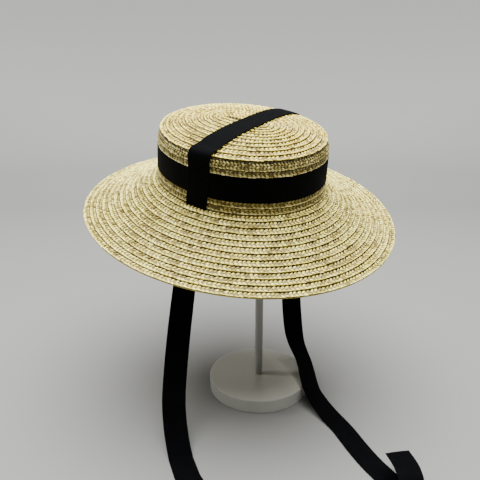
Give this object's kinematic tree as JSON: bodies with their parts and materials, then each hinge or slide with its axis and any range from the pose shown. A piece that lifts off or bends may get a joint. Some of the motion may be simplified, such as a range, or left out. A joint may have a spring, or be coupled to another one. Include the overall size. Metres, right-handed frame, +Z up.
{
  "type": "straw boater hat on a display stand",
  "caption": "Straw boater hat with a wide sloping brim, a ribbon band and long ribbon ties, held tilted on a round display stand.",
  "frame": {"origin": "centre of the stand's foot, on the floor", "axes": "+Z up; the front of the hat looks towards -Y; +X is the left side of the hat's wearer, and the strap runs over the crown along X"},
  "size_m": [0.3742, 0.4336, 0.3508],
  "materials": {
    "crown_straw": "sewn rows of pale yellow plaited straw with a slight gloss",
    "brim_straw": "sewn rows of pale yellow plaited straw with a slight gloss",
    "band_ribbon": "matt black ribbon",
    "strap_ribbon": "matt black ribbon",
    "tie_ribbon": "matt black ribbon",
    "stand_paint": "satin off-white paint"
  },
  "bodies": {
    "root": {"crown": "crown_straw", "brim": "brim_straw", "crown_band": "band_ribbon", "crown_strap": "strap_ribbon", "left_tie": "tie_ribbon", "right_tie": "tie_ribbon", "stand_base": "stand_paint", "stand_post": "stand_paint", "stand_head": "stand_paint"}
  },
  "joints": []
}
